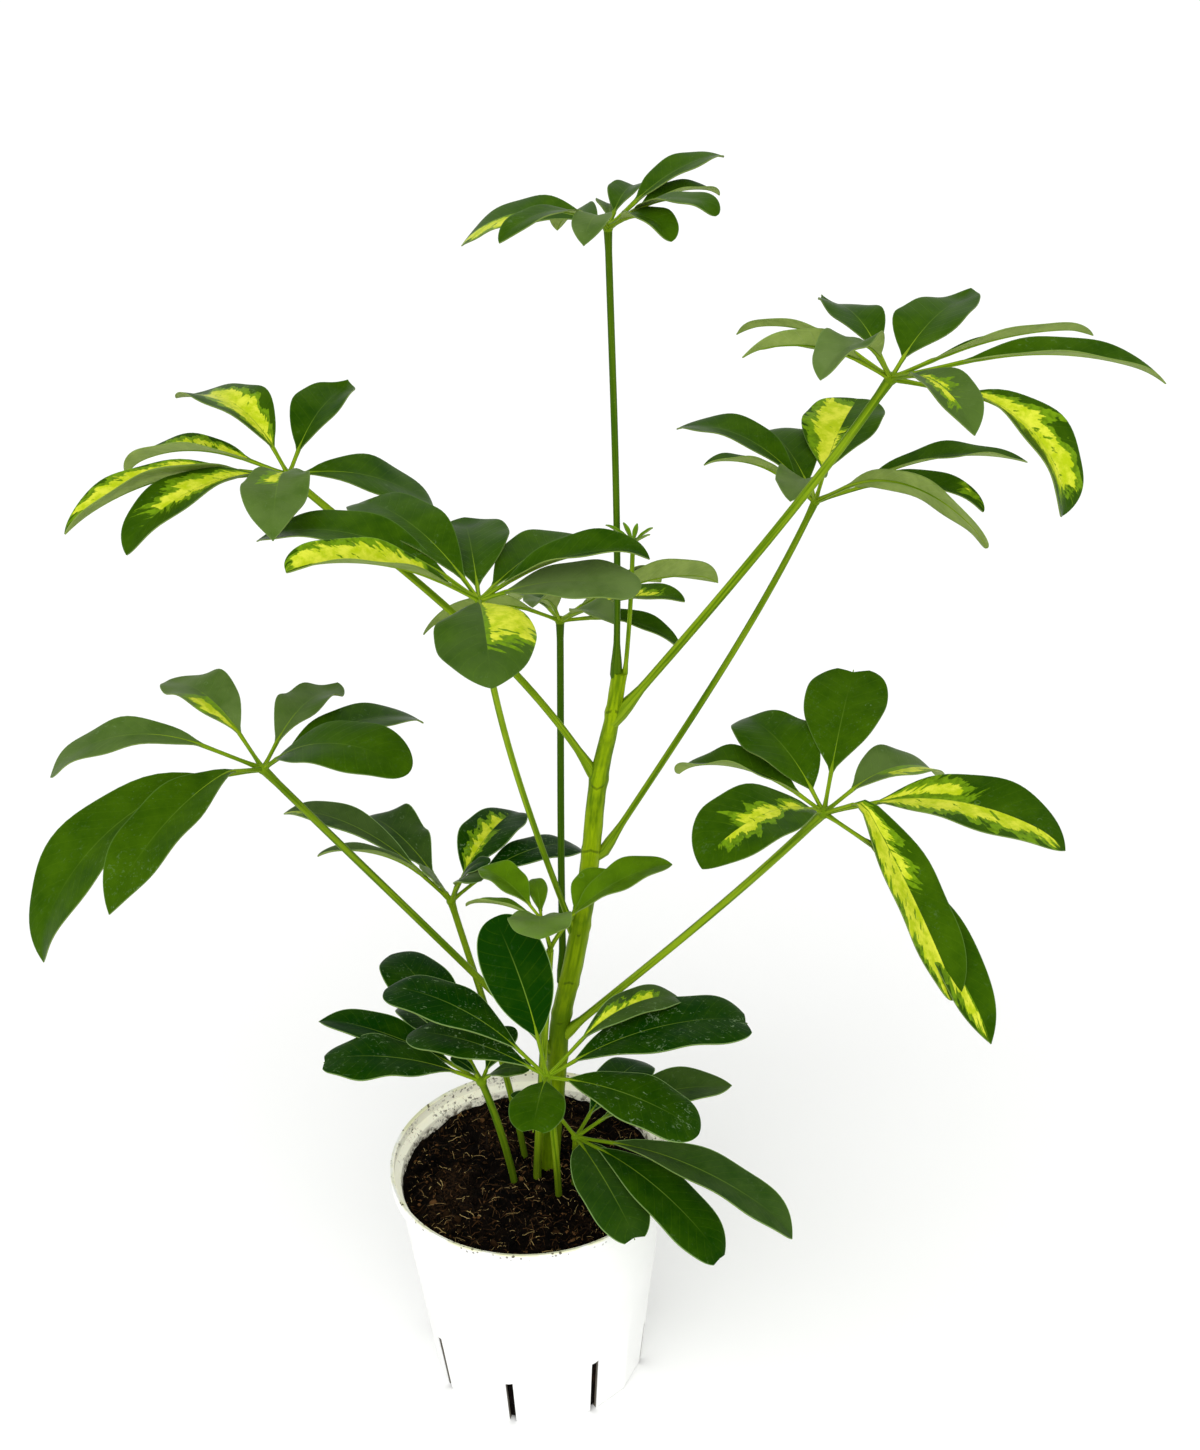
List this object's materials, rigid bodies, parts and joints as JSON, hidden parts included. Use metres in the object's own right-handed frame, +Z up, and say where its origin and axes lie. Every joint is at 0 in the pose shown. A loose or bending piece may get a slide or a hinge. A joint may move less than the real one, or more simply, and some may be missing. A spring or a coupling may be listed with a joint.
{
  "type": "potted umbrella plant",
  "caption": "Variegated umbrella plant: a slender leaning trunk with long-stalked leaves of spread leaflets, standing in soil in a white slotted nursery pot",
  "frame": {"origin": "the middle of the flat underside of the pot", "axes": "+Z points up, -Y points towards the viewer of the picture and +X to the right of the picture"},
  "size_m": [0.4575, 0.2543, 0.5736],
  "materials": {
    "pot": "satin",
    "soil": "matte",
    "stem": "satin",
    "young_leaf": "satin",
    "leaf": "satin"
  },
  "bodies": {
    "root": {"pot": "pot", "soil": "soil", "main_stem": "stem", "side_shoot": "young_leaf", "leaf_top": "leaf", "leaf_upper_right": "leaf", "leaf_mid_right": "leaf", "leaf_upper_left": "leaf", "leaf_centre": "leaf", "leaf_rear": "leaf", "leaf_left": "leaf", "leaf_right": "leaf", "leaf_low_left": "leaf", "leaf_front": "leaf", "leaf_basal_left": "leaf", "leaf_basal_right": "leaf", "leaf_bud": "young_leaf"}
  },
  "joints": []
}
